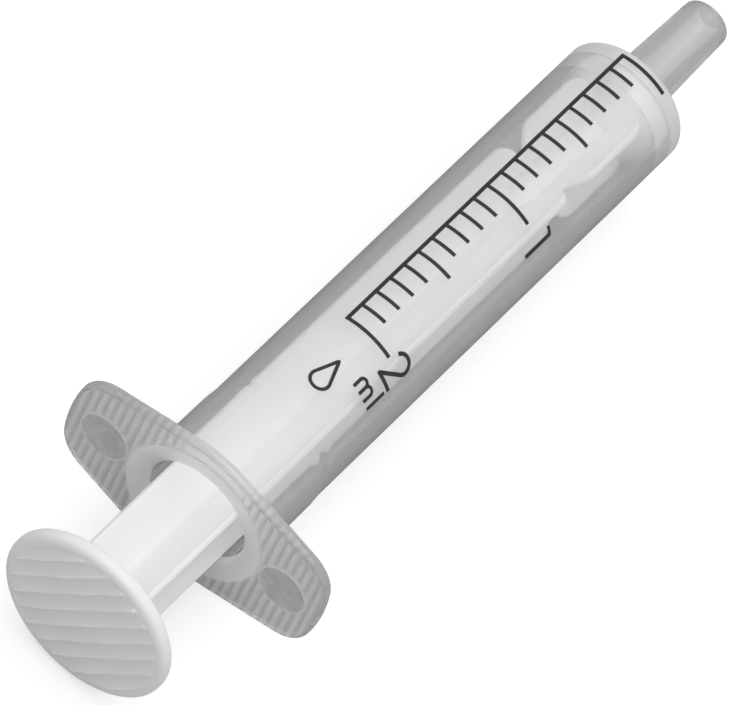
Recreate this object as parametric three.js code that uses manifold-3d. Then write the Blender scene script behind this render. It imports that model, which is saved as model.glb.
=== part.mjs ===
// Two-piece disposable syringe, 2 mL, with a concentric Luer-slip nozzle.
// Millimetres, +Z up. The syringe lies along X with its nozzle toward +X, resting on its finger flange.
import * as THREE from 'three';
import { mergeVertices } from 'three/addons/utils/BufferGeometryUtils.js';
import Module from 'manifold-3d';

const wasm = await Module();
wasm.setup();

// ---- driving dimensions ----
const nominalVolume = 2000;
const boreDiameter = 8.71;
const boreRadius = boreDiameter / 2;
const scaleLength = nominalVolume / (Math.PI * boreRadius ** 2);
const divisions = 20;

// stations along the axis, measured from the rear face of the finger flange
const flangeThickness = 1.0;
const collarEnd = 8.05;
const retainingRingAt = 9.55;
const boreEnd = 51.5;
const frontFace = 52.53;
const nozzleTip = 62.7;
const zeroMarkAt = 51.66;
const discOuterFace = -12.82;
const discThickness = 1.4;

// barrel radii
const outerRearRadius = 5.315;
const outerFrontRadius = 5.285;
const collarRadius = 5.45;
const collarDraft = 0.04;
const mouthRadius = 4.95;
const frontEdgeRadius = 0.6;
const retainingRingHeight = 0.05;
const retainingRingHalfWidth = 0.8;
const collarStepLength = 0.6;
const boreEndFillet = 0.3;
const passageEase = 0.15;
const mouthDepth = 0.75;

// Luer-slip nozzle: 6 % taper on the diameter
const nozzleTipRadius = 2.01;
const luerTaper = 0.06;
const nozzleBoreRadius = 1.05;
const nozzleEdgeRadius = 0.3;
const nozzleRootFillet = 0.3;
const collarFillet = 0.4;

// finger flange outline
const flangeMiddleRadius = 7.4;
const flangeCornerAt = 8.5;
const flangeCornerRadius = 3.2;
const flangeEdgeSlope = 0.265;
const flangeEdgeRadius = 0.3;
const flangeBorder = 0.5;
const padDistance = 8.5;
const padRadius = 2.0;
const padMargin = 0.12;
const padDepth = 0.05;
const grooveDepth = 0.15;
const groovePitch = 0.72;
const grooveHalfWidth = 0.42 * groovePitch;
const groovesFrom = 2.7;
const boreRingRadius = 6.05;

// plunger
const ribRadius = 4.2;
const ribThickness = 0.7;
const ribTurn = THREE.MathUtils.degToRad(43);
const gripTurn = THREE.MathUtils.degToRad(39);
const gripPhase = 0.3;
const neckRadius = 2.8;
const notchFrom = 40.5;
const notchTo = 41.3;
const rodEndRound = 1.6;
const notchEase = 0.05;
const headStepLength = 0.25;
const headStepHeight = 0.45;
const headRearSlope = 1.55;
const headRearRound = 1.3;
const headRibEnd = 49.8;
const headFrontRound = 2.0;
const sealFrom = 49.7;
const sealTo = 51.25;
const sealRadius = 4.28;
const sealConeLength = 2.5;
const sealConeRadius = 4.05;
const sealLipWidth = 0.45;
const sealWaistRadius = 4.05;
const sealCoreRadius = 1.9;
const discRadius = 7.25;
const discOuterEdge = 0.45;
const discInnerEdge = 0.2;
const discBossRadius = 4.5;
const discBossHeight = 0.35;
const gripPitch = 1.43;
const gripHeight = 0.13;
const gripWidth = 0.55;
const gripFieldRadius = 6.5;

// printed scale, as angles round the barrel from the top toward -Y
const inkRadius = outerRearRadius + 0.012;
const inkThickness = 0.04;
const lineWidth = 0.28;
const layerStep = 0.005;
const spineAngle = -17;
const shortTickAngle = 7;
const middleTickAngle = 17;
const longTickAngle = 29;

// the object's middle lies over the origin and its lowest edge at z = 0
const middleX = (nozzleTip + discOuterFace - gripHeight) / 2;
const axisHeight = flangeMiddleRadius;

const barrelMaterial = new THREE.MeshStandardMaterial({ name: 'clear_barrel', color: 0xdfe3e4, roughness: 0.2 });
const plungerMaterial = new THREE.MeshStandardMaterial({ name: 'white_plunger', color: 0xf1f1ee, roughness: 0.45 });
const inkMaterial = new THREE.MeshStandardMaterial({ name: 'print_ink', color: 0x1c1c1e, roughness: 0.5 });

// ---- solids ----
function toSolid(geometry) {
  const bare = geometry.index ? geometry.toNonIndexed() : geometry.clone();
  bare.deleteAttribute('normal');
  bare.deleteAttribute('uv');
  const merged = mergeVertices(bare, 1e-5);
  const kept = [];
  const corner = merged.index.array;
  for (let i = 0; i < corner.length; i += 3) {
    const [a, b, c] = [corner[i], corner[i + 1], corner[i + 2]];
    if (a !== b && b !== c && c !== a) kept.push(a, b, c);
  }
  return new wasm.Manifold(new wasm.Mesh({
    numProp: 3,
    vertProperties: new Float32Array(merged.attributes.position.array),
    triVerts: new Uint32Array(kept),
  }));
}

function toGeometry(solid) {
  const mesh = solid.getMesh();
  const geometry = new THREE.BufferGeometry();
  geometry.setAttribute('position', new THREE.BufferAttribute(new Float32Array(mesh.vertProperties), 3));
  geometry.setIndex(new THREE.BufferAttribute(new Uint32Array(mesh.triVerts), 1));
  geometry.computeVertexNormals();
  return geometry;
}

function joinAll(solids) {
  return solids.reduce((whole, next) => whole.add(next));
}

// points round an arc in the (x, radius) plane; angles in degrees, 0 along +X
function arc(x, r, radius, from, to, steps) {
  const points = [];
  for (let i = 0; i <= steps; i += 1) {
    const angle = THREE.MathUtils.degToRad(from + (to - from) * i / steps);
    points.push([x + radius * Math.cos(angle), r + radius * Math.sin(angle)]);
  }
  return points;
}

// a solid of revolution about X; its (x, radius) points run from the rear of the axis round the outside
function turned(points, segments = 48) {
  const profile = points.map(([x, r]) => new THREE.Vector2(Math.max(r, 0), x));
  const geometry = new THREE.LatheGeometry(profile, segments);
  geometry.rotateZ(-Math.PI / 2);
  return toSolid(geometry);
}

// a flat plate square to X: the shape's x and y become Y and Z
function plateAcross(shape, from, thickness, bevel = 0) {
  const geometry = new THREE.ExtrudeGeometry(shape, {
    depth: thickness - 2 * bevel,
    bevelEnabled: bevel > 0,
    bevelThickness: bevel,
    bevelSize: bevel,
    bevelOffset: -bevel,
    bevelSegments: 3,
    curveSegments: 10,
  });
  geometry.translate(0, 0, from + bevel);
  geometry.applyMatrix4(new THREE.Matrix4().set(0, 0, 1, 0, 1, 0, 0, 0, 0, 1, 0, 0, 0, 0, 0, 1));
  return toSolid(geometry);
}

// ---- barrel ----
function barrelOutside() {
  const rootRadius = nozzleTipRadius + (nozzleTip - frontFace) * luerTaper / 2;
  return turned([
    [0, 0],
    [0, collarRadius],
    [flangeThickness, collarRadius + collarFillet],
    ...arc(flangeThickness + collarFillet, collarRadius + collarFillet, collarFillet, 180, 270, 3),
    [collarEnd, collarRadius - collarDraft],
    [collarEnd + collarStepLength, outerRearRadius],
    ...arc(frontFace - frontEdgeRadius, outerFrontRadius - frontEdgeRadius, frontEdgeRadius, 90, 0, 5),
    [frontFace, rootRadius + nozzleRootFillet],
    [frontFace + nozzleRootFillet, rootRadius - nozzleRootFillet * luerTaper / 2],
    ...arc(nozzleTip - nozzleEdgeRadius, nozzleTipRadius - nozzleEdgeRadius, nozzleEdgeRadius, 90, 0, 4),
    [nozzleTip, 0],
  ], 64);
}

// everything inside the barrel: flared mouth, bore with its small retaining ring, nozzle passage
function barrelInside() {
  const mouthFlare = mouthRadius - boreRadius;
  return turned([
    [-1, 0],
    [-1, mouthRadius],
    ...arc(mouthDepth, mouthRadius, mouthFlare, 205, 270, 4).map(([x, r]) => [Math.max(x, 0), r]),
    [retainingRingAt - retainingRingHalfWidth, boreRadius],
    [retainingRingAt, boreRadius - retainingRingHeight],
    [retainingRingAt + retainingRingHalfWidth, boreRadius],
    ...arc(boreEnd - boreEndFillet, boreRadius - boreEndFillet, boreEndFillet, 90, 0, 3),
    [boreEnd, nozzleBoreRadius + passageEase],
    [boreEnd + passageEase, nozzleBoreRadius],
    [nozzleTip + 1, nozzleBoreRadius],
    [nozzleTip + 1, 0],
  ], 64);
}

// The outline is a middle circle with straight edges running off it to rounded tips.
function flangeShape(inset) {
  const middle = flangeMiddleRadius - inset;
  const corner = flangeCornerRadius - inset;
  const lean = Math.atan(flangeEdgeSlope);
  const cornerX = flangeCornerAt;
  const cornerY = (flangeMiddleRadius - flangeCornerRadius - cornerX * Math.sin(lean)) / Math.cos(lean);
  const tipAngle = THREE.MathUtils.degToRad(9);
  const bow = (cornerY + corner * Math.sin(tipAngle)) / Math.sin(tipAngle);
  const bowX = cornerX + corner * Math.cos(tipAngle) - bow * Math.cos(tipAngle);
  const up = Math.PI / 2;
  const shape = new THREE.Shape();
  shape.absarc(0, 0, middle, up - lean, up + lean, false);
  shape.absarc(-cornerX, cornerY, corner, up + lean, Math.PI - tipAngle, false);
  shape.absarc(-bowX, 0, bow, Math.PI - tipAngle, Math.PI + tipAngle, false);
  shape.absarc(-cornerX, -cornerY, corner, Math.PI + tipAngle, 3 * up - lean, false);
  shape.absarc(0, 0, middle, 3 * up - lean, 3 * up + lean, false);
  shape.absarc(cornerX, -cornerY, corner, 3 * up + lean, 2 * Math.PI - tipAngle, false);
  shape.absarc(bowX, 0, bow, -tipAngle, tipAngle, false);
  shape.absarc(cornerX, cornerY, corner, tipAngle, up - lean, false);
  return shape;
}

function circleHole(y, z, radius) {
  const hole = new THREE.Path();
  hole.absarc(y, z, radius, 0, 2 * Math.PI, true);
  return hole;
}

// V-grooves across the wings, kept off the border, the ring round the bore and the two pads
function flangeGrooves() {
  const field = flangeShape(flangeBorder);
  field.holes.push(circleHole(0, 0, boreRingRadius));
  field.holes.push(circleHole(padDistance, 0, padRadius + padMargin));
  field.holes.push(circleHole(-padDistance, 0, padRadius + padMargin));
  const groove = new THREE.Shape();
  groove.moveTo(-2 * grooveHalfWidth, -grooveDepth);
  groove.lineTo(2 * grooveHalfWidth, -grooveDepth);
  groove.lineTo(0, grooveDepth);
  const grooves = [];
  const side = Math.floor((flangeCornerAt + flangeCornerRadius - flangeBorder) / groovePitch);
  for (let i = -side; i <= side; i += 1) {
    if (Math.abs(i * groovePitch) < groovesFrom) continue;
    const geometry = new THREE.ExtrudeGeometry(groove, { depth: 2 * flangeMiddleRadius, bevelEnabled: false });
    geometry.translate(0, 0, -flangeMiddleRadius);
    geometry.applyMatrix4(new THREE.Matrix4().set(0, 1, 0, 0, 1, 0, 0, i * groovePitch, 0, 0, -1, 0, 0, 0, 0, 1));
    grooves.push(toSolid(geometry));
  }
  return joinAll(grooves).intersect(plateAcross(field, -1, 1 + 2 * grooveDepth));
}

function padRecess(side) {
  const circle = new THREE.Shape();
  circle.absarc(side * padDistance, 0, padRadius, 0, 2 * Math.PI, false);
  return plateAcross(circle, -1, 1 + padDepth);
}

function makeBarrel() {
  return barrelOutside()
    .add(plateAcross(flangeShape(0), 0, flangeThickness, flangeEdgeRadius))
    .subtract(barrelInside())
    .subtract(flangeGrooves())
    .subtract(padRecess(1))
    .subtract(padRecess(-1));
}

// ---- plunger ----
// one of the two crossed ribs, seen from the side, from the thumb disc to the head
function ribShape() {
  const shape = new THREE.Shape();
  const outline = [
    [discOuterFace + discThickness / 2, ribRadius],
    ...arc(notchFrom - rodEndRound, ribRadius - rodEndRound, rodEndRound, 90, 25, 4),
    [notchFrom + notchEase, neckRadius],
    [notchTo - notchEase, neckRadius],
    [notchTo + headStepLength, neckRadius + headStepHeight],
    ...arc(notchTo + headRearSlope, ribRadius - headRearRound, headRearRound, 130, 90, 3),
    ...arc(headRibEnd - headFrontRound, ribRadius - headFrontRound, headFrontRound, 90, 10, 5),
    [headRibEnd, sealCoreRadius],
    [(sealFrom + sealTo) / 2, sealCoreRadius],
  ];
  const mirrored = outline.map(([x, r]) => [x, -r]).reverse();
  shape.setFromPoints([...outline, ...mirrored].map(([x, r]) => new THREE.Vector2(x, r)));
  return shape;
}

function rib(turn) {
  const geometry = new THREE.ExtrudeGeometry(ribShape(), { depth: ribThickness, bevelEnabled: false });
  geometry.translate(0, 0, -ribThickness / 2);
  geometry.rotateX(turn);
  return toSolid(geometry);
}

function thumbDisc() {
  const innerFace = discOuterFace + discThickness;
  return turned([
    [discOuterFace, 0],
    ...arc(discOuterFace + discOuterEdge, discRadius - discOuterEdge, discOuterEdge, 180, 90, 4),
    ...arc(innerFace - discInnerEdge, discRadius - discInnerEdge, discInnerEdge, 90, 0, 2),
    [innerFace, discBossRadius],
    [innerFace + discBossHeight, discBossRadius - discBossHeight],
    [innerFace + discBossHeight, 0],
  ], 64);
}

// raised grip lines on the thumb disc
function gripLines() {
  const lines = [];
  const side = Math.floor(gripFieldRadius / gripPitch);
  const section = new THREE.Shape();
  section.moveTo(-gripWidth / 2, 0.1);
  section.lineTo(0, -gripHeight);
  section.lineTo(gripWidth / 2, 0.1);
  for (let i = -side; i <= side; i += 1) {
    const offset = (i - gripPhase) * gripPitch;
    const length = 2 * Math.sqrt(Math.max(gripFieldRadius ** 2 - offset ** 2, 1));
    const geometry = new THREE.ExtrudeGeometry(section, { depth: length, bevelEnabled: false });
    geometry.translate(offset, discOuterFace, -length / 2);
    geometry.applyMatrix4(new THREE.Matrix4().set(0, 1, 0, 0, 1, 0, 0, 0, 0, 0, -1, 0, 0, 0, 0, 1));
    geometry.rotateX(gripTurn);
    lines.push(toSolid(geometry));
  }
  return joinAll(lines);
}

// the sealing end: two lips with a shallow waist between them
function sealingHead() {
  return turned([
    [sealFrom - sealConeLength, 0],
    [sealFrom - sealConeLength, sealCoreRadius - 0.3],
    [sealFrom, sealConeRadius],
    [sealFrom, sealRadius - 0.2],
    [sealFrom + 0.1, sealRadius],
    [sealFrom + sealLipWidth, sealRadius],
    [(sealFrom + sealTo) / 2, sealWaistRadius],
    [sealTo - sealLipWidth, sealRadius],
    [sealTo - 0.15, sealRadius],
    [sealTo, sealRadius - 0.25],
    [sealTo, 0],
  ], 64);
}

function neckCore() {
  return turned([
    [notchFrom - 2.5, 0],
    [notchFrom - 2.5, sealCoreRadius],
    [headRibEnd + 0.8, sealCoreRadius],
    [headRibEnd + 0.8, 0],
  ], 24);
}

function makePlunger() {
  return joinAll([
    thumbDisc(),
    gripLines(),
    rib(ribTurn),
    rib(ribTurn + Math.PI / 2),
    neckCore(),
    sealingHead(),
  ]);
}

// ---- printed scale ----
// A flat stroke laid on the barrel. Its centre line holds (x, angle) pairs with the angle in degrees.
// A stroke that crosses another is made thinner than it by the given amount on each face.
function inkStroke(line, width = lineWidth, thinner = 0) {
  const perDegree = inkRadius * Math.PI / 180;
  const flat = line.map(([x, angle]) => new THREE.Vector2(x, angle * perDegree));
  const left = [];
  const right = [];
  flat.forEach((point, i) => {
    const before = flat[Math.max(i - 1, 0)];
    const after = flat[Math.min(i + 1, flat.length - 1)];
    const along = after.clone().sub(before).normalize();
    const across = new THREE.Vector2(-along.y, along.x).multiplyScalar(width / 2);
    left.push(point.clone().add(across));
    right.push(point.clone().sub(across));
  });
  const corners = [];
  const place = (point, radius) => {
    const angle = point.y / inkRadius;
    corners.push(point.x, -radius * Math.sin(angle), radius * Math.cos(angle));
  };
  flat.forEach((point, i) => {
    place(left[i], inkRadius + thinner);
    place(right[i], inkRadius + thinner);
    place(right[i], inkRadius + inkThickness - thinner);
    place(left[i], inkRadius + inkThickness - thinner);
  });
  const faces = [0, 2, 1, 0, 3, 2];
  const last = 4 * (flat.length - 1);
  faces.push(last, last + 1, last + 2, last, last + 2, last + 3);
  for (let i = 0; i < last; i += 4) {
    for (let side = 0; side < 4; side += 1) {
      const next = (side + 1) % 4;
      faces.push(i + side, i + next, i + 4 + next, i + side, i + 4 + next, i + 4 + side);
    }
  }
  const geometry = new THREE.BufferGeometry();
  geometry.setAttribute('position', new THREE.BufferAttribute(new Float32Array(corners), 3));
  geometry.setIndex(faces);
  const solid = toSolid(geometry);
  if (solid.volume() > 0) return solid;
  for (let i = 0; i < faces.length; i += 3) faces.splice(i, 3, faces[i], faces[i + 2], faces[i + 1]);
  geometry.setIndex(faces);
  return toSolid(geometry);
}

function straight(x0, angle0, x1, angle1, steps) {
  const line = [];
  for (let i = 0; i <= steps; i += 1) {
    line.push([x0 + (x1 - x0) * i / steps, angle0 + (angle1 - angle0) * i / steps]);
  }
  return line;
}

function markAt(volume) {
  return zeroMarkAt - scaleLength * volume;
}

function makeScaleLines() {
  const lines = [inkStroke(straight(markAt(1) - lineWidth / 2, spineAngle, zeroMarkAt + lineWidth / 2, spineAngle, 2))];
  for (let i = 0; i <= divisions; i += 1) {
    let end = shortTickAngle;
    if (i % 5 === 0) end = middleTickAngle;
    if (i % 10 === 0) end = longTickAngle;
    const x = markAt(i / divisions);
    lines.push(inkStroke(straight(x, spineAngle, x, end, Math.ceil((end - spineAngle) / 6)), lineWidth, layerStep));
  }
  return joinAll(lines);
}

// A glyph is drawn on its own grid, u to the reader's right and v up, then laid with v toward the nozzle.
function glyphStroke(points, x, angle, width, thinner = 0) {
  const perDegree = inkRadius * Math.PI / 180;
  return inkStroke(points.map(([u, v]) => [x + v, angle + u / perDegree]), width, thinner);
}

function glyphArc(u, v, radius, from, to, steps, squash = 1) {
  const points = [];
  for (let i = 0; i <= steps; i += 1) {
    const angle = THREE.MathUtils.degToRad(from + (to - from) * i / steps);
    points.push([u + radius * Math.cos(angle) * squash, v + radius * Math.sin(angle)]);
  }
  return points;
}

const numeralHeight = 3.2;
const numeralStroke = 0.3;

function makeNumeralTwo() {
  const half = numeralHeight / 2 - numeralStroke / 2;
  const bowl = 0.78;
  const top = glyphArc(0, half - bowl, bowl, 165, -40, 14);
  const foot = [-bowl, -half];
  const [lastU, lastV] = top[top.length - 1];
  const diagonal = [];
  for (let i = 1; i <= 5; i += 1) {
    diagonal.push([lastU + (foot[0] - lastU) * i / 5, lastV + (foot[1] - lastV) * i / 5]);
  }
  const body = glyphStroke([...top, ...diagonal], markAt(1), 40.5, numeralStroke);
  const base = [-bowl - 0.1, -bowl * 0.4, 0, bowl * 0.5, bowl + 0.12].map((u) => [u, -half]);
  return body.add(glyphStroke(base, markAt(1), 40.5, numeralStroke, layerStep));
}

function makeNumeralOne() {
  const half = numeralHeight / 2;
  const stem = glyphStroke([[0, -half], [0, half]], markAt(0.5), 48.5, numeralStroke);
  const flag = glyphStroke([[0, half - 0.2], [-0.3, half - 0.5], [-0.62, half - 0.68]], markAt(0.5), 48.5, 0.26, layerStep);
  return stem.add(flag);
}

const unitStroke = 0.24;
const unitBaseAt = -2.35;

function makeUnitM() {
  const height = 1.25;
  const step = 0.72;
  const stems = [-1, 0, 1].map((i) => [[i * step, 0], [i * step, height - 0.3]]);
  const parts = stems.map((stem) => glyphStroke(stem, markAt(1) + unitBaseAt - 1.6, 33.5, unitStroke));
  [-0.5, 0.5].forEach((i) => {
    const bridge = glyphArc(i * step, height - step / 2 - 0.06, step / 2, 180, 0, 8);
    parts.push(glyphStroke(bridge, markAt(1) + unitBaseAt - 1.6, 33.5, unitStroke, layerStep));
  });
  return joinAll(parts);
}

function makeUnitL() {
  return glyphStroke([[0, 0], [0, 2.1]], markAt(1) + unitBaseAt - 1.6, 48.5, unitStroke);
}

// a plain drop outline: two straight flanks running into a round belly
function makeDropMark() {
  const belly = 0.78;
  const apex = 1.75;
  const round = glyphArc(0, -0.5, belly, 150, 390, 22);
  const tip = [0, apex];
  const ends = [round[0], round[round.length - 1]];
  const rise = (end) => [1, 2, 3].map((i) => [end[0] + (tip[0] - end[0]) * i / 3, end[1] + (tip[1] - end[1]) * i / 3]);
  const loop = glyphStroke([...rise(ends[0]).reverse(), ...round], markAt(1) - 5.2, 4, unitStroke);
  return loop.add(glyphStroke([ends[1], ...rise(ends[1])], markAt(1) - 5.2, 4, unitStroke, layerStep));
}

// ---- assembly ----
const group = new THREE.Group();
group.position.set(-middleX, 0, axisHeight);

function addPart(name, solid, material) {
  const mesh = new THREE.Mesh(toGeometry(solid), material);
  mesh.name = name;
  group.add(mesh);
}

addPart('barrel', makeBarrel(), barrelMaterial);
addPart('plunger', makePlunger(), plungerMaterial);
addPart('scale_lines', makeScaleLines(), inkMaterial);
addPart('numeral_1', makeNumeralOne(), inkMaterial.clone());
addPart('numeral_2', makeNumeralTwo(), inkMaterial.clone());
addPart('unit_m', makeUnitM(), inkMaterial.clone());
addPart('unit_l', makeUnitL(), inkMaterial.clone());
addPart('drop_mark', makeDropMark(), inkMaterial.clone());

export default group;
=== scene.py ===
"""Two-piece 2 mL syringe: the visual model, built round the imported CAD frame, in metres."""

import math

import bpy
import numpy as np
from mathutils import Matrix, Vector


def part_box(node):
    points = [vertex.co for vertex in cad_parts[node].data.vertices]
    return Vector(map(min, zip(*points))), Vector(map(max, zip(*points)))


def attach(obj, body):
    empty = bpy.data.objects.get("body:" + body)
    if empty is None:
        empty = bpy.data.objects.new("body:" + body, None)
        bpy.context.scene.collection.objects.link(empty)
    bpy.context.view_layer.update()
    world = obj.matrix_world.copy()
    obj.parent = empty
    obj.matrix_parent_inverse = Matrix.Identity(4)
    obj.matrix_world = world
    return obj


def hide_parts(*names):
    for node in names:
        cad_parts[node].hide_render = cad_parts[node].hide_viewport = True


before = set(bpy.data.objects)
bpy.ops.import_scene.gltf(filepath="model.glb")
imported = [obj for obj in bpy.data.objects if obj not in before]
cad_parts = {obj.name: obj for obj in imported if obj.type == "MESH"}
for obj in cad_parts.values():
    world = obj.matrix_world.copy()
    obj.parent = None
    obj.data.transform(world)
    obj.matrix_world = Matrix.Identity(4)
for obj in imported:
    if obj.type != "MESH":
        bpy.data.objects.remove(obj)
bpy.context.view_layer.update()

MM = 0.001

# ---- places read from the frame, in millimetres ----
barrel_low, barrel_high = (np.array(corner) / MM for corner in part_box("barrel"))
plunger_low, plunger_high = (np.array(corner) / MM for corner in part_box("plunger"))
FLANGE_X = barrel_low[0]
AXIS_Z = (plunger_low[2] + plunger_high[2]) / 2
NOZZLE_TIP = barrel_high[0] - FLANGE_X
FLANGE_MIDDLE_RADIUS = (barrel_high[2] - barrel_low[2]) / 2

# ---- sizes in millimetres, along the axis from the flange's rear face ----
FLANGE_THICKNESS = 1.0
FLANGE_EDGE = 0.36
FLANGE_CORNER_AT = 8.5
FLANGE_CORNER_RADIUS = 3.2
FLANGE_EDGE_SLOPE = 0.265
FLANGE_TIP_ANGLE = math.radians(9)
FLANGE_BORDER = 0.5
FLANGE_FILLET = 0.4
BORE_RING_RADIUS = 6.05
PAD_DISTANCE = 8.5
PAD_RADIUS = 2.0
PAD_DEPTH = 0.05
GROOVE_PITCH = 0.72
GROOVE_DEPTH = 0.15
GROOVES_FROM = 2.6
GROOVE_FADE = 0.6

BORE_RADIUS = 8.71 / 2
MOUTH_RADIUS = 4.95
COLLAR_END = 8.05
COLLAR_RADIUS = 5.45
COLLAR_DRAFT = 0.04
STEP_EASE = 0.7
OUTER_REAR_RADIUS = 5.315
OUTER_FRONT_RADIUS = 5.285
RETAINING_RING_AT = 9.55
RETAINING_RING_HEIGHT = 0.03
RETAINING_RING_LENGTH = 1.6
BORE_END = 51.5
BORE_END_FILLET = 0.3
FRONT_FACE = 52.53
FRONT_EDGE = 0.6
END_WALL_FROM = 50.9
NOZZLE_TIP_RADIUS = 2.01
NOZZLE_BORE_RADIUS = 1.05
NOZZLE_FILLET = 0.3
NOZZLE_EDGE = 0.28
PASSAGE_EDGE = 0.12
PASSAGE_EASE = 0.2
LUER_TAPER = 0.06

DISC_OUTER_FACE = -12.82
DISC_THICKNESS = 1.4
DISC_RADIUS = 7.25
DISC_FACE_EDGE = 0.5
DISC_BACK_EDGE = 0.4
DISC_CROWN = 0.2
BOSS_RADIUS = 4.9
BOSS_HEIGHT = 0.3
GRIP_PITCH = 1.43
GRIP_HEIGHT = 0.15
GRIP_HALF_WIDTH = 0.2
GRIP_VALLEY = 0.05
GRIP_PHASE = 0.3
GRIP_TURN = math.radians(39)
GRIP_FIELD = 6.6
FACE_WAVE = 0.05
RIB_TURN = math.radians(43)
RIB_RADIUS = 4.2
RIB_ROOT_HALF = 0.45
RIB_TIP_HALF = 0.27
RIB_FILLET = 0.85
RIB_EDGE = 0.15
ROD_FILLET = 0.4
ROD_END_ROUND = 1.6
NECK_RADIUS = 2.8
NOTCH_FROM = 40.5
NOTCH_TO = 41.3
HEAD_REAR_ROUND = 1.55
HEAD_FRONT_ROUND = 2
HEAD_END = 49.85
CORE_RADIUS = 1.9
CORE_FILLET = 0.35
SEAL_FROM = 49.7
SEAL_TO = 51.3
SEAL_RADIUS = 4.3
SEAL_CONE = 2.5

SCALE_LENGTH = 2000 / (math.pi * BORE_RADIUS**2)
ZERO_MARK = 51.66
LINE_WIDTH = 0.33
SPINE_ANGLE = -17
TICK_END = {"short": 7, "middle": 17, "long": 29}
INK_LIFT = 0.004
INK_THICKNESS = 0.014
PER_DEGREE = OUTER_REAR_RADIUS * math.pi / 180

AROUND = 640
SHARP_ANGLE = math.radians(38)

# ---- looks ----
FLANGE_COLOUR = (0.96, 0.962, 0.965)
# painted shade: the darker colour given to the hollows of the flange's grooves
GROOVE_SHADE_COLOUR = (0.7, 0.7, 0.705)
PAD_DARK = (0.62, 0.62, 0.625)
PAD_LIGHT = (0.8, 0.8, 0.805)
PAD_SHARE = 0.4  # the pads' roughness as a share of the flange's
TUBE_COLOUR = (0.88, 0.885, 0.89)
NOZZLE_COLOUR = (0.84, 0.845, 0.85)
SHADOW_COLOUR = (0.96, 0.962, 0.965)
CLEAR_IOR = 1.49
CLOUD_DEPTH = 0.0015
WHITE_DARK = (0.84, 0.84, 0.83)
WHITE_LIGHT = (0.88, 0.88, 0.875)
INK_DARK = (0.010, 0.010, 0.011)
INK_LIGHT = (0.045, 0.045, 0.048)
NOISE_MIDDLE = (0.3, 0.7)
FLOOR_BENT = 0.28
FLOOR_BOUNCE = 0.55
FLOOR_SEEN = 0.62
FLOOR_GLOW = 0.5


# ---- mesh helpers ----
def arc(x, r, radius, start, end, steps):
    """Points round an arc in the (x, radius) plane; angles in degrees, 0 along +X."""
    angles = np.radians(np.linspace(start, end, steps + 1))
    return [(x + radius * math.cos(a), r + radius * math.sin(a)) for a in angles]


def add_piece(name, points, faces, material, body):
    """A smooth-shaded mesh from points in millimetres about the flange plane and the axis."""
    mesh = bpy.data.meshes.new(name)
    placed = (np.asarray(points, float) + (FLANGE_X, 0, AXIS_Z)) * MM
    mesh.from_pydata(placed.tolist(), [], faces)
    mesh.validate()
    mesh.shade_smooth()
    mesh.set_sharp_from_angle(angle=SHARP_ANGLE)
    mesh.materials.append(material)
    piece = bpy.data.objects.new(name, mesh)
    bpy.context.scene.collection.objects.link(piece)
    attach(piece, body)
    return piece


def grid_faces(rings, around, start=0, loop=False):
    """Quads between rings of points; loop joins the last ring to the first."""
    faces = []
    for i in range(rings if loop else rings - 1):
        here = start + i * around
        there = start + (i + 1) % rings * around
        for j in range(around):
            k = (j + 1) % around
            faces.append((here + j, here + k, there + k, there + j))
    return faces


def capped_rings(start, rings, end):
    """Points and faces of rings round the X axis, closed by a point on the axis at each end."""
    around = len(rings[0])
    points = np.vstack([[(start, 0, 0)], *rings, [(end, 0, 0)]])
    faces = grid_faces(len(rings), around, 1)
    last = 1 + (len(rings) - 1) * around
    for j in range(around):
        k = (j + 1) % around
        faces.append((0, 1 + k, 1 + j))
        faces.append((len(points) - 1, last + j, last + k))
    return points, faces


def ring(x, r, around):
    """One ring of points; x and r are numbers, or arrays with a value for each point."""
    angles = np.linspace(0, 2 * np.pi, around, endpoint=False)
    return np.column_stack([np.full(around, x), r * np.cos(angles), r * np.sin(angles)])


def turned(profile, around):
    """A solid turned about X, from a profile whose ends lie on the axis."""
    rings = [ring(x, r, around) for x, r in profile[1:-1]]
    return capped_rings(profile[0][0], rings, profile[-1][0])


def smoothstep(value, start, end):
    t = np.clip((value - start) / (end - start), 0, 1)
    return t * t * (3 - 2 * t)


# ---- materials ----
def feed(tree, node, inputs):
    """Give each named input its value, or link it to another node's output."""
    for socket, value in inputs.items():
        if isinstance(value, bpy.types.NodeSocket):
            tree.links.new(value, node.inputs[socket])
        else:
            node.inputs[socket].default_value = value


def add_node(tree, kind, inputs, **settings):
    node = tree.nodes.new(kind)
    for name, value in settings.items():
        setattr(node, name, value)
    feed(tree, node, inputs)
    return node


def calculate(tree, operation, *values):
    inputs = dict(enumerate(values))
    return add_node(tree, "ShaderNodeMath", inputs, operation=operation).outputs["Value"]


def vector_step(tree, operation, *values):
    inputs = dict(enumerate(values))
    return add_node(tree, "ShaderNodeVectorMath", inputs, operation=operation).outputs


def map_range(tree, value, start, end, low=0.0, high=1.0):
    inputs = {"Value": value, "From Min": start, "From Max": end, "To Min": low, "To Max": high}
    return add_node(tree, "ShaderNodeMapRange", inputs).outputs["Result"]


def mix_colours(tree, factor, first, second):
    """A mix of two colours, each three numbers or another node's output."""
    pair = [(*c, 1) if isinstance(c, tuple) else c for c in (first, second)]
    inputs = {"Factor": factor, "A": pair[0], "B": pair[1]}
    return add_node(tree, "ShaderNodeMix", inputs, data_type="RGBA").outputs["Result"]


def noise(tree, place, scale, detail, stretch=None):
    if stretch:
        mapping = add_node(tree, "ShaderNodeMapping", {"Vector": place, "Scale": stretch})
        place = mapping.outputs["Vector"]
    inputs = {"Vector": place, "Scale": scale, "Detail": detail}
    return add_node(tree, "ShaderNodeTexNoise", inputs).outputs["Fac"]


def spread(tree, value, low, high):
    """Noise, which keeps mostly to its middle, spread from low to high."""
    return map_range(tree, value, *NOISE_MIDDLE, low, high)


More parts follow.
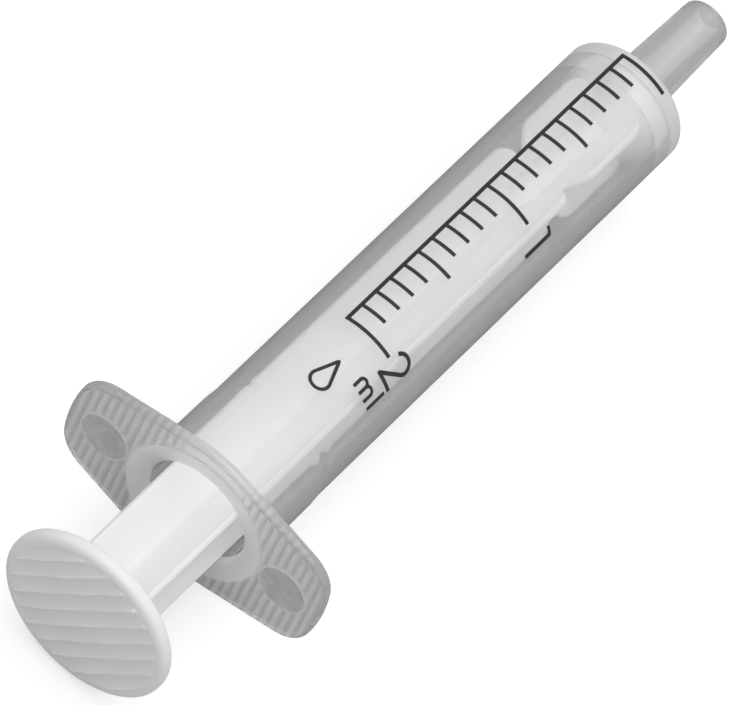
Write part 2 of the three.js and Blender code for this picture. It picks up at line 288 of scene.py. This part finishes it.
def bump(tree, shader, height, distance, strength):
    inputs = {"Strength": strength, "Distance": distance, "Height": height}
    node = add_node(tree, "ShaderNodeBump", inputs)
    tree.links.new(node.outputs["Normal"], shader.inputs["Normal"])


def new_material(name):
    material = bpy.data.materials.new(name)
    material.use_nodes = True
    tree = material.node_tree
    place = add_node(tree, "ShaderNodeTexCoord", {}).outputs["Object"]
    return material, tree, tree.nodes["Principled BSDF"], place


def flange_colour_and_groove_shade(tree, place):
    """Milky, with painted shade darkening the grooves and two mottled pads; and a mask, 0 in a pad
    and 1 outside.
    """
    middle = (FLANGE_X * MM, 0, AXIS_Z * MM)
    centred = vector_step(tree, "SUBTRACT", place, middle)["Vector"]
    folded = vector_step(tree, "ABSOLUTE", centred)["Vector"]
    from_pad = vector_step(tree, "DISTANCE", folded, (0, PAD_DISTANCE * MM, 0))["Value"]
    from_axis = vector_step(tree, "DISTANCE", folded, (0, 0, 0))["Value"]
    sideways = add_node(tree, "ShaderNodeSeparateXYZ", {"Vector": folded}).outputs["Y"]
    turn = calculate(tree, "MULTIPLY", sideways, 2 * math.pi / (GROOVE_PITCH * MM))
    # painted shade: 1 at the bottom of each groove, where its hollow falls into shade
    groove_shade = map_range(tree, calculate(tree, "COSINE", turn), -0.6, 0.8)
    limits = (
        (from_pad, PAD_RADIUS + 0.1, PAD_RADIUS + 0.3),
        (from_axis, BORE_RING_RADIUS, BORE_RING_RADIUS + 0.3),
        (sideways, GROOVES_FROM, GROOVES_FROM + GROOVE_FADE),
    )
    for distance, start, end in limits:
        within = map_range(tree, distance, start * MM, end * MM)
        groove_shade = calculate(tree, "MULTIPLY", groove_shade, within)
    outside = map_range(tree, from_pad, (PAD_RADIUS - 0.06) * MM, (PAD_RADIUS + 0.06) * MM)
    mottle = spread(tree, noise(tree, place, 1100, 3), 0, 1)
    pad = mix_colours(tree, mottle, PAD_DARK, PAD_LIGHT)
    # painted shade: the grooves' hollows are coloured darker than the rest of the flange
    groove_shaded = mix_colours(tree, groove_shade, FLANGE_COLOUR, GROOVE_SHADE_COLOUR)
    return mix_colours(tree, outside, pad, groove_shaded), outside


def clear_plastic(name, clearness, smooth, rough, colour, pads_and_groove_shade=False, cloud=0.0):
    """Clear polypropylene: slightly milky, with faint flow lines along the barrel."""
    material, tree, shader, place = new_material(name)
    haze = spread(tree, noise(tree, place, 420, 4), smooth, rough)
    base = (*colour, 1)
    if pads_and_groove_shade:
        # the flange's mottled pads, and painted shade darkening its grooves
        base, outside = flange_colour_and_groove_shade(tree, place)
        share = calculate(tree, "MULTIPLY_ADD", outside, 1 - PAD_SHARE, PAD_SHARE)
        haze = calculate(tree, "MULTIPLY", haze, share)
    inputs = {
        "Base Color": base,
        "Roughness": haze,
        "Transmission Weight": clearness,
        "IOR": CLEAR_IOR,
        "Subsurface Weight": cloud,
        "Subsurface Radius": (1, 1, 1),
        "Subsurface Scale": CLOUD_DEPTH,
    }
    feed(tree, shader, inputs)
    bump(tree, shader, noise(tree, place, 900, 3, stretch=(0.12, 1, 1)), 0.0000025, 0.5)
    # Lamps light the plunger through the wall, as they do through a real clear tube.
    rays = add_node(tree, "ShaderNodeLightPath", {})
    clear = add_node(tree, "ShaderNodeBsdfTransparent", {"Color": (*SHADOW_COLOUR, 1)})
    inputs = {"Fac": rays.outputs["Is Shadow Ray"], 1: shader.outputs[0], 2: clear.outputs[0]}
    mix = add_node(tree, "ShaderNodeMixShader", inputs)
    tree.links.new(mix.outputs["Shader"], tree.nodes["Material Output"].inputs["Surface"])
    return material


def white_plastic():
    """White polyethylene: satin, a little translucent, with a fine moulded grain."""
    material, tree, shader, place = new_material("white_polyethylene")
    inputs = {
        "Base Color": mix_colours(tree, noise(tree, place, 130, 2), WHITE_DARK, WHITE_LIGHT),
        "Roughness": spread(tree, noise(tree, place, 700, 4), 0.36, 0.5),
        "Subsurface Weight": 0.3,
        "Subsurface Radius": (1, 0.95, 0.9),
        "Subsurface Scale": 0.0006,
    }
    feed(tree, shader, inputs)
    bump(tree, shader, noise(tree, place, 5200, 4), 0.000004, 0.5)
    return material


def print_ink():
    """Black pad-printed ink with a slightly uneven film."""
    material, tree, shader, place = new_material("print_ink")
    tone = noise(tree, place, 2600, 4)
    inputs = {
        "Base Color": mix_colours(tree, tone, INK_DARK, INK_LIGHT),
        "Roughness": spread(tree, tone, 0.5, 0.7),
        "Specular IOR Level": 0.3,
    }
    feed(tree, shader, inputs)
    bump(tree, shader, tone, 0.000004, 0.4)
    return material


def pale_floor():
    """White to the eye and in its diffuse bounce, and a shaded grey in what clear plastic bends."""
    material, tree, shader, _ = new_material("pale_floor")
    rays = add_node(tree, "ShaderNodeLightPath", {}).outputs
    tone = (FLOOR_BENT,) * 3
    for ray, grey in (("Is Diffuse Ray", FLOOR_BOUNCE), ("Is Camera Ray", FLOOR_SEEN)):
        tone = mix_colours(tree, rays[ray], tone, (grey,) * 3)
    inputs = {
        "Base Color": tone,
        "Roughness": 0.9,
        "Emission Color": (FLOOR_GLOW, FLOOR_GLOW, FLOOR_GLOW, 1),
        "Emission Strength": rays["Is Camera Ray"],
    }
    feed(tree, shader, inputs)
    return material


# ---- barrel ----
def flange_radius(angles, inset):
    """The flange outline's distance from the axis at each angle from +Y, drawn in by inset."""
    lean = math.atan(FLANGE_EDGE_SLOPE)
    middle = FLANGE_MIDDLE_RADIUS - inset
    corner = FLANGE_CORNER_RADIUS - inset
    corner_x = FLANGE_CORNER_AT
    corner_y = FLANGE_MIDDLE_RADIUS - FLANGE_CORNER_RADIUS - corner_x * math.sin(lean)
    corner_y /= math.cos(lean)
    tip = FLANGE_TIP_ANGLE
    bow = (corner_y + corner * math.sin(tip)) / math.sin(tip)
    bow_x = corner_x + (corner - bow) * math.cos(tip)

    def round_part(cx, cy, radius, start, end):
        a = np.linspace(start, end, 40)
        return np.column_stack([cx + radius * np.cos(a), cy + radius * np.sin(a)])

    quarter = np.vstack(
        [
            round_part(bow_x, 0, bow, 0, tip),
            round_part(corner_x, corner_y, corner, tip, math.pi / 2 - lean),
            round_part(0, 0, middle, math.pi / 2 - lean, math.pi / 2),
        ]
    )
    fine = [
        quarter[i] + (quarter[i + 1] - quarter[i]) * t
        for i in range(len(quarter) - 1)
        for t in np.linspace(0, 1, 8, endpoint=False)
    ]
    fine = np.array(fine + [quarter[-1]])
    folded = np.arctan2(np.abs(np.sin(angles)), np.abs(np.cos(angles)))
    directions = np.arctan2(fine[:, 1], fine[:, 0])
    return np.interp(folded, directions, np.hypot(fine[:, 0], fine[:, 1]))


def flange_relief(y, z, border):
    """Depth of the rear face's grooves and pads; border is how far out each point's field goes."""
    r = np.hypot(y, z)
    pad = np.hypot(np.abs(y) - PAD_DISTANCE, z)
    field = smoothstep(r, BORE_RING_RADIUS, BORE_RING_RADIUS + 0.18)
    field *= 1 - smoothstep(r, border - 0.15, border + 0.05)
    field *= smoothstep(pad, PAD_RADIUS + 0.08, PAD_RADIUS + 0.25)
    field *= smoothstep(np.abs(y), GROOVES_FROM, GROOVES_FROM + GROOVE_FADE)
    grooves = GROOVE_DEPTH * (0.5 + 0.5 * np.cos(2 * np.pi * y / GROOVE_PITCH)) * field
    return grooves + PAD_DEPTH * (1 - smoothstep(pad, PAD_RADIUS - 0.12, PAD_RADIUS + 0.04))


def barrel_profile():
    """The turned part of the barrel, from the flange's front face round the nozzle to the mouth."""
    root = NOZZLE_TIP_RADIUS + (NOZZLE_TIP - FRONT_FACE) * LUER_TAPER / 2
    collar_end_radius = COLLAR_RADIUS - COLLAR_DRAFT
    mouth_flare = MOUTH_RADIUS - BORE_RADIUS
    wall = np.linspace(COLLAR_END + STEP_EASE, END_WALL_FROM, 24)
    wall = np.append(wall, FRONT_FACE - FRONT_EDGE)
    slope = (OUTER_FRONT_RADIUS - OUTER_REAR_RADIUS) / (wall[-1] - wall[0])
    fillet = FLANGE_FILLET
    profile = arc(FLANGE_THICKNESS + fillet, COLLAR_RADIUS + fillet, fillet, 180, 270, 8)
    profile += [(2.6, COLLAR_RADIUS - 0.01), (5, COLLAR_RADIUS - 0.02)]
    for x in np.linspace(COLLAR_END - STEP_EASE, wall[0], 15):
        share = smoothstep(x, COLLAR_END - STEP_EASE, wall[0])
        profile.append((x, collar_end_radius + share * (OUTER_REAR_RADIUS - collar_end_radius)))
    profile += [(x, OUTER_REAR_RADIUS + slope * (x - wall[0])) for x in wall[1:-1]]
    edge = FRONT_EDGE
    profile += arc(FRONT_FACE - edge, OUTER_FRONT_RADIUS - edge, edge, 90, 0, 12)
    profile += [(FRONT_FACE, 4.0), (FRONT_FACE, 3.2)]
    fillet = NOZZLE_FILLET
    profile += arc(FRONT_FACE + fillet, root + fillet, fillet, 180, 265, 6)
    edge = NOZZLE_EDGE
    for x in np.linspace(FRONT_FACE + 0.8, NOZZLE_TIP - edge - 0.2, 6):
        profile.append((x, NOZZLE_TIP_RADIUS + (NOZZLE_TIP - x) * LUER_TAPER / 2))
    profile += arc(NOZZLE_TIP - edge, NOZZLE_TIP_RADIUS - edge, edge, 85, 0, 7)
    edge = PASSAGE_EDGE
    profile += arc(NOZZLE_TIP - edge, NOZZLE_BORE_RADIUS + edge, edge, 0, -90, 4)
    edge = PASSAGE_EASE
    profile += [(NOZZLE_TIP - 4, NOZZLE_BORE_RADIUS), (BORE_END + 2 * edge, NOZZLE_BORE_RADIUS)]
    profile += arc(BORE_END + edge, NOZZLE_BORE_RADIUS + edge, edge, 270, 180, 4)
    profile += [(BORE_END, 2.4), (BORE_END, 3.6)]
    fillet = BORE_END_FILLET
    profile += arc(BORE_END - fillet, BORE_RADIUS - fillet, fillet, 0, 90, 6)
    profile += [(x, BORE_RADIUS) for x in np.linspace(BORE_END - 2, RETAINING_RING_AT + 1, 18)]
    for share in np.linspace(0.5, -0.5, 15):
        rise = RETAINING_RING_HEIGHT * math.cos(math.pi * share) ** 2
        profile.append((RETAINING_RING_AT + RETAINING_RING_LENGTH * share, BORE_RADIUS - rise))
    profile += [(x, BORE_RADIUS) for x in (8, 5, 2.4)]
    profile += arc(mouth_flare + 0.1, MOUTH_RADIUS, mouth_flare, 270, 190, 8)
    return profile


def make_barrel(tube, milky, frosted, hazy, mouth_white):
    """One closed shell of rings round the axis, with a material for each zone."""
    angles = np.linspace(0, 2 * np.pi, AROUND, endpoint=False)
    cos, sin = np.cos(angles), np.sin(angles)
    rim = flange_radius(angles, FLANGE_EDGE)
    border = flange_radius(angles, FLANGE_BORDER)
    mouth_rings = [(0, r) for r in np.linspace(MOUTH_RADIUS + 0.06, BORE_RING_RADIUS, 10)]
    rear_rings = []
    for t in np.linspace(0, 1, 101)[1:]:
        r = BORE_RING_RADIUS + t * (rim - BORE_RING_RADIUS)
        rear_rings.append((flange_relief(r * cos, r * sin, border), r))
    side_rings = []
    rounding = np.radians(np.linspace(0, 90, 8))
    for a in rounding[1:]:
        r = flange_radius(angles, FLANGE_EDGE * (1 - math.sin(a)))
        side_rings.append((FLANGE_EDGE * (1 - math.cos(a)), r))
    for a in rounding[::-1]:
        r = flange_radius(angles, FLANGE_EDGE * (1 - math.sin(a)))
        side_rings.append((FLANGE_THICKNESS - FLANGE_EDGE * (1 - math.cos(a)), r))
    profile = barrel_profile()
    inward = profile[0][1] - rim
    front_rings = [(FLANGE_THICKNESS, rim + t * inward) for t in (0.25, 0.5, 0.75, 0.92)]
    rings = mouth_rings + rear_rings + side_rings + front_rings + profile
    points = np.vstack([ring(x, r, AROUND) for x, r in rings])
    faces = grid_faces(len(rings), AROUND, loop=True)
    piece = add_piece("barrel_shell", points, faces, tube, "barrel_body")
    for material in (milky, frosted, hazy, mouth_white):
        piece.data.materials.append(material)
    in_tube, in_milky, in_frosted, in_hazy, in_mouth = range(5)
    bands = [in_mouth] * len(mouth_rings) + [in_milky] * len(rear_rings)
    bands += [in_tube] * len(side_rings) + [in_milky] * len(front_rings)
    for x, r in profile:
        if x < FLANGE_THICKNESS and r < BORE_RING_RADIUS:
            bands.append(in_mouth)
        elif END_WALL_FROM - 0.01 < x < FRONT_FACE + 0.1:
            bands.append(in_frosted)
        else:
            bands.append(in_hazy if x > FRONT_FACE else in_tube)
    indices = np.repeat(bands, AROUND).astype(np.int32)
    piece.data.polygons.foreach_set("material_index", indices)
    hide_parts("barrel")


# ---- plunger ----
def rib_section(radius, swell):
    """A plus-shaped section with drafted ribs, filleted roots and eased edges, grown by swell."""
    tip, root, reach = RIB_TIP_HALF + swell, RIB_ROOT_HALF + swell, radius + swell
    arm = arc(reach - RIB_EDGE, -(tip - RIB_EDGE), RIB_EDGE, -90, 0, 3)
    arm += arc(reach - RIB_EDGE, tip - RIB_EDGE, RIB_EDGE, 0, 90, 3)
    inner = root + RIB_FILLET
    side = np.linspace(reach - RIB_EDGE, inner, 7)[1:-1]
    side = [(p, tip + (root - tip) * (reach - p) / (reach - inner)) for p in side]
    arm += side + arc(inner, inner, RIB_FILLET, 270, 180, 5)
    arm += [(q, p) for p, q in reversed(side)]
    points = []
    for quarter in range(4):
        cos, sin = math.cos(quarter * math.pi / 2), math.sin(quarter * math.pi / 2)
        points += [(p * cos - q * sin, p * sin + q * cos) for p, q in arm]
    return points


def rod_stations():
    """(x, rib radius, swell) along the plunger, from inside the thumb disc to the sealing head."""
    face = DISC_OUTER_FACE + DISC_THICKNESS
    fillet = ROD_FILLET
    swelling = [(face - 0.2, RIB_RADIUS, fillet)]
    for a in np.radians(np.linspace(0, 90, 7)):
        x = face + fillet * (1 - math.cos(a))
        swelling.append((x, RIB_RADIUS, fillet * (1 - math.sin(a))))
    outline = [(x, RIB_RADIUS) for x in np.linspace(face + 1, NOTCH_FROM - 3, 26)]
    turn = ROD_END_ROUND
    outline += arc(NOTCH_FROM - turn, RIB_RADIUS - turn, turn, 90, 18, 12)
    outline += [(NOTCH_FROM + 0.02, NECK_RADIUS + 0.12), (NOTCH_FROM + 0.14, NECK_RADIUS)]
    outline += [(NOTCH_TO - 0.14, NECK_RADIUS), (NOTCH_TO - 0.02, NECK_RADIUS + 0.08)]
    turn = HEAD_REAR_ROUND
    outline += arc(NOTCH_TO + turn + 0.2, RIB_RADIUS - turn, turn, 142, 90, 8)
    outline += [(x, RIB_RADIUS) for x in (44.5, 46)]
    turn = HEAD_FRONT_ROUND
    outline += arc(HEAD_END - turn, RIB_RADIUS - turn, turn, 90, 8, 10)
    return swelling + [(x, r, 0) for x, r in outline]


def make_rod(material):
    stations = rod_stations()
    points = []
    cos, sin = math.cos(RIB_TURN), math.sin(RIB_TURN)
    for x, radius, swell in stations:
        section = rib_section(radius, swell)
        points += [(x, p * cos - q * sin, p * sin + q * cos) for p, q in section]
    around = len(rib_section(RIB_RADIUS, 0))
    faces = grid_faces(len(stations), around)
    faces.append(tuple(reversed(range(around))))
    faces.append(tuple(range(len(points) - around, len(points))))
    piece = add_piece("plunger_rod", points, faces, material, "plunger_body")
    crease = piece.modifiers.new("even_shading", "WEIGHTED_NORMAL")
    crease.keep_sharp = True
    return piece


def make_thumb_disc(material):
    """The disc, with its grip lines as relief on the outer face."""
    around = 480
    inner_face = DISC_OUTER_FACE + DISC_THICKNESS
    angles = np.linspace(0, 2 * np.pi, around, endpoint=False)
    cos, sin = np.cos(angles), np.sin(angles)
    rings = []
    for r in np.linspace(0.05, DISC_RADIUS - DISC_FACE_EDGE, 120):
        across = r * (cos * math.cos(GRIP_TURN) + sin * math.sin(GRIP_TURN))
        along = r * (sin * math.cos(GRIP_TURN) - cos * math.sin(GRIP_TURN))
        phase = (across / GRIP_PITCH + GRIP_PHASE + 0.5) % 1 - 0.5
        ridge = 1 - smoothstep(np.abs(phase) * GRIP_PITCH, 0.02, GRIP_HALF_WIDTH)
        limit = 1 - smoothstep(r, GRIP_FIELD - 0.35, GRIP_FIELD)
        crown = DISC_CROWN * (r / DISC_RADIUS) ** 2
        line = np.round(across / GRIP_PITCH + GRIP_PHASE)
        ridge *= 0.8 + 0.2 * np.sin(1.9 * along + 2.3 * line)
        sink = FACE_WAVE * np.sin(1.1 * across + 0.6) * np.cos(0.75 * along - 1.2)
        sink -= GRIP_VALLEY * np.cos(2 * np.pi * phase)
        relief = (sink - GRIP_HEIGHT * ridge) * limit
        rings.append(ring(DISC_OUTER_FACE + crown + relief, r, around))
    edge = DISC_FACE_EDGE
    rim = arc(DISC_OUTER_FACE + DISC_CROWN + edge, DISC_RADIUS - edge, edge, 165, 90, 8)
    edge = DISC_BACK_EDGE
    rim += arc(inner_face - edge, DISC_RADIUS - edge, edge, 90, 0, 5)
    rim += [(inner_face, r) for r in (6.3, 5.4, BOSS_RADIUS)]
    boss_face = inner_face + BOSS_HEIGHT
    rim += arc(boss_face, BOSS_RADIUS, BOSS_HEIGHT, 180, 260, 5)
    rim += [(boss_face, 3.0), (boss_face, 1.0)]
    rings += [ring(x, r, around) for x, r in rim]
    points, faces = capped_rings(DISC_OUTER_FACE, rings, boss_face)
    return add_piece("thumb_disc", points, faces, material, "plunger_body")


def make_sealing_head(material):
    """The head's conical rear and its two sealing lips."""
    middle = (SEAL_FROM + SEAL_TO) / 2
    cone_from = SEAL_FROM - SEAL_CONE
    profile = [(cone_from, 0), (cone_from, CORE_RADIUS - 0.3), (SEAL_FROM, SEAL_RADIUS - 0.25)]
    profile += arc(SEAL_FROM + 0.15, SEAL_RADIUS - 0.15, 0.15, 180, 90, 4)
    profile += [(SEAL_FROM + 0.4, SEAL_RADIUS), (middle - 0.15, SEAL_RADIUS - 0.2)]
    profile += [(middle + 0.15, SEAL_RADIUS - 0.2), (SEAL_TO - 0.45, SEAL_RADIUS)]
    profile += arc(SEAL_TO - 0.25, SEAL_RADIUS - 0.25, 0.25, 90, 0, 5)
    profile += [(SEAL_TO, 3), (SEAL_TO, 1), (SEAL_TO, 0)]
    points, faces = turned(profile, 240)
    return add_piece("sealing_head", points, faces, material, "plunger_body")


def make_neck_core(material):
    """The round core that shows between the ribs from the notch to the head."""
    fillet = CORE_FILLET
    start = NOTCH_FROM - 3
    profile = [(start, 0), (start, CORE_RADIUS - 0.6), (start + 1, CORE_RADIUS)]
    profile += [(x, CORE_RADIUS) for x in (42, 45, 48)]
    profile += arc(SEAL_FROM - fillet, CORE_RADIUS + fillet, fillet, 270, 355, 5)
    profile += [(SEAL_FROM + 0.4, CORE_RADIUS + fillet), (SEAL_FROM + 0.4, 0)]
    points, faces = turned(profile, 160)
    return add_piece("neck_core", points, faces, material, "plunger_body")


# ---- print ----
def wall_radius(x):
    share = (x - COLLAR_END) / (FRONT_FACE - COLLAR_END)
    return OUTER_REAR_RADIUS + share * (OUTER_FRONT_RADIUS - OUTER_REAR_RADIUS)


def ink_stroke(line, width):
    """Points and faces of a film with eased ends, along (x, degrees round the barrel) pairs."""
    flat = np.array([(x, a * PER_DEGREE) for x, a in line])
    steps = [flat[0]]
    for start, end in zip(flat[:-1], flat[1:]):
        count = max(1, math.ceil(np.hypot(*(end - start)) / 0.12))
        steps += [start + (end - start) * i / count for i in range(1, count + 1)]
    steps = np.array(steps)
    along = np.gradient(steps, axis=0)
    along /= np.hypot(along[:, 0], along[:, 1])[:, None]
    across = np.column_stack([-along[:, 1], along[:, 0]])
    half = width / 2
    ease = min(half, 0.1)
    eased = [math.sin(math.radians(a)) for a in (22.5, 45, 67.5, 90)]
    rows = [(steps[0], half - ease, across[0])]
    for s in eased[:-1]:
        rows.append((steps[0] + along[0] * ease * (1 - s), half - ease + ease * s, across[0]))
    rows += [(point, half, side) for point, side in zip(steps[1:-1], across[1:-1])]
    for s in reversed(eased):
        rows.append((steps[-1] - along[-1] * ease * (1 - s), half - ease + ease * s, across[-1]))
    rows.append((steps[-1], half - ease, across[-1]))
    points = []
    for level in (INK_LIFT, INK_LIFT + INK_THICKNESS):
        for centre, reach, side in rows:
            for sign in (-1, 1):
                x, distance = centre + side * reach * sign
                angle = distance / OUTER_REAR_RADIUS
                radius = wall_radius(x) + level
                points.append((x, -radius * math.sin(angle), radius * math.cos(angle)))
    faces = []
    top = 2 * len(rows)
    for a in range(0, top - 2, 2):
        b = a + 2
        faces.append((b, b + 1, a + 1, a))
        faces.append((top + a, top + a + 1, top + b + 1, top + b))
        faces.append((top + a, top + b, b, a))
        faces.append((top + b + 1, top + a + 1, a + 1, b + 1))
    faces.append((1, top + 1, top, 0))
    end = top - 2
    faces.append((end, top + end, top + end + 1, end + 1))
    return points, faces


def add_ink(name, strokes, material, replaced):
    points, faces = [], []
    for line, width in strokes:
        more_points, more_faces = ink_stroke(line, width)
        faces += [tuple(i + len(points) for i in face) for face in more_faces]
        points += more_points
    piece = add_piece(name, points, faces, material, "barrel_body")
    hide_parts(replaced)


def mark_at(volume):
    return ZERO_MARK - SCALE_LENGTH * volume


def glyph(points, x, angle):
    """Glyph points, u to the reader's right and v up, laid with v toward the nozzle."""
    return [(x + v, angle + u / PER_DEGREE) for u, v in points]


def make_print(material):
    """The scale, its numerals 2 and 1, the volume unit and a plain drop."""
    half_line = LINE_WIDTH / 2
    spine = [(mark_at(1) - half_line, SPINE_ANGLE), (ZERO_MARK + half_line, SPINE_ANGLE)]
    strokes = [(spine, LINE_WIDTH)]
    for i in range(21):
        kind = "long" if i % 10 == 0 else "middle" if i % 5 == 0 else "short"
        x = mark_at(i / 20)
        strokes.append(([(x, SPINE_ANGLE), (x, TICK_END[kind])], LINE_WIDTH))
    add_ink("scale_print", strokes, material, "scale_lines")

    height, stroke, bowl = 3.2, 0.34, 0.78
    half = (height - stroke) / 2
    hook = arc(0, half - bowl, bowl, 165, -40, 18) + [(-bowl, -half)]
    foot = [(-bowl - 0.12, -half), (bowl + 0.12, -half)]
    two = [(glyph(line, mark_at(1), 40.5), stroke) for line in (hook, foot)]
    add_ink("print_2", two, material, "numeral_2")
    top = height / 2
    stem = [(0, -top), (0, top - 0.12)]
    flag = [(0, top - 0.2), (-0.3, top - 0.12), (-0.66, top - 0.06)]
    one = ((stem, stroke), (flag, 0.3))
    one = [(glyph(line, mark_at(0.5), 49.2), width) for line, width in one]
    add_ink("print_1", one, material, "numeral_1")

    unit_x, unit_stroke, x_height, step = mark_at(1) - 3.95, 0.28, 1.25, 0.72
    lines = [[(i * step, 0), (i * step, x_height - 0.3)] for i in (-1, 0, 1)]
    for i in (-0.5, 0.5):
        lines.append(arc(i * step, x_height - step / 2 - 0.06, step / 2, 180, 0, 10))
    letter_m = [(glyph(line, unit_x, 33.5), unit_stroke) for line in lines]
    add_ink("print_m", letter_m, material, "unit_m")
    letter_l = [(glyph([(0, 0), (0, 2.1)], unit_x, 48.5), unit_stroke)]
    add_ink("print_l", letter_l, material, "unit_l")

    belly = arc(0, -0.5, 0.78, 150, 390, 26)
    drop = glyph(belly + [(0, 1.75), belly[0]], mark_at(1) - 5.2, 4)
    add_ink("print_drop", [(drop, unit_stroke)], material, "drop_mark")


# ---- stage, light and camera ----
def make_key_light():
    """A large round softbox over the syringe, a little to one side."""
    light = bpy.data.lights.new("key", "AREA")
    light.shape = "DISK"
    light.size = 1.2
    light.energy = 4.1
    lamp = bpy.data.objects.new("key", light)
    bpy.context.scene.collection.objects.link(lamp)
    lamp.location = (0, -0.15, 1.05)
    lamp.rotation_euler = (-lamp.location).to_track_quat("-Z", "Y").to_euler()


def make_floor():
    half = 3.0
    mesh = bpy.data.meshes.new("floor")
    corners = [(-half, -half, 0), (half, -half, 0), (half, half, 0), (-half, half, 0)]
    mesh.from_pydata(corners, [], [(0, 1, 2, 3)])
    mesh.materials.append(pale_floor())
    floor = bpy.data.objects.new("floor", mesh)
    bpy.context.scene.collection.objects.link(floor)


def make_studio():
    """Soft light from all round, from none below to most above."""
    world = bpy.data.worlds.new("studio")
    world.use_nodes = True
    sky = world.node_tree
    way = add_node(sky, "ShaderNodeTexCoord", {}).outputs["Generated"]
    brightest = Vector((0.15, -0.15, 0.9)).normalized()
    toward = vector_step(sky, "DOT_PRODUCT", way, brightest)["Value"]
    level = map_range(sky, toward, -1, 1, 0, 0.88)
    feed(sky, sky.nodes["Background"], {"Color": (1, 1, 1, 1), "Strength": level})
    bpy.context.scene.world = world
    bpy.context.scene.view_settings.view_transform = "Standard"


def make_camera():
    """A long lens looking down at the thumb end, turned so that the nozzle points up and right."""
    tilt = math.radians(32.9)
    round_axis = math.radians(10.5)
    turn = math.radians(43.79)
    distance, uphill_by, side_by, along_by = 729.96, 17.434, 0.244, -0.57
    side = Vector((0, -math.cos(round_axis), -math.sin(round_axis)))
    near = Vector((0, -math.sin(round_axis), math.cos(round_axis)))
    axis = Vector((1, 0, 0))
    back = near * math.cos(tilt) - axis * math.sin(tilt)
    uphill = axis * math.cos(tilt) + near * math.sin(tilt)
    right = uphill * math.cos(turn) + side * math.sin(turn)
    up = uphill * math.sin(turn) - side * math.cos(turn)
    centre = Vector((FLANGE_X, 0, AXIS_Z)) + axis * along_by
    place = (centre + uphill * uphill_by + side * side_by + back * distance) * MM
    data = bpy.data.cameras.new("camera")
    data.sensor_width = 36
    data.lens = 501.7
    data.clip_start = 0.01
    data.clip_end = 10
    camera = bpy.data.objects.new("camera", data)
    rotation = Matrix((right, up, back)).transposed().to_4x4()
    camera.matrix_world = Matrix.Translation(place) @ rotation
    bpy.context.scene.collection.objects.link(camera)
    bpy.context.scene.camera = camera


make_barrel(
    clear_plastic("clear_polypropylene", 0.86, 0.07, 0.11, TUBE_COLOUR),
    clear_plastic("milky_polypropylene", 0.52, 0.38, 0.5, FLANGE_COLOUR, pads_and_groove_shade=True),
    clear_plastic("frosted_polypropylene", 0.54, 0.38, 0.5, FLANGE_COLOUR),
    clear_plastic("hazy_polypropylene", 0.82, 0.12, 0.16, NOZZLE_COLOUR),
    clear_plastic("mouth_polypropylene", 0.2, 0.3, 0.4, FLANGE_COLOUR, cloud=0.8),
)
white = white_plastic()
plunger_makers = (make_rod, make_thumb_disc, make_sealing_head, make_neck_core)
plunger_pieces = [make(white) for make in plunger_makers]
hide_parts("plunger")
make_print(print_ink())
make_floor()
make_studio()
make_key_light()
make_camera()
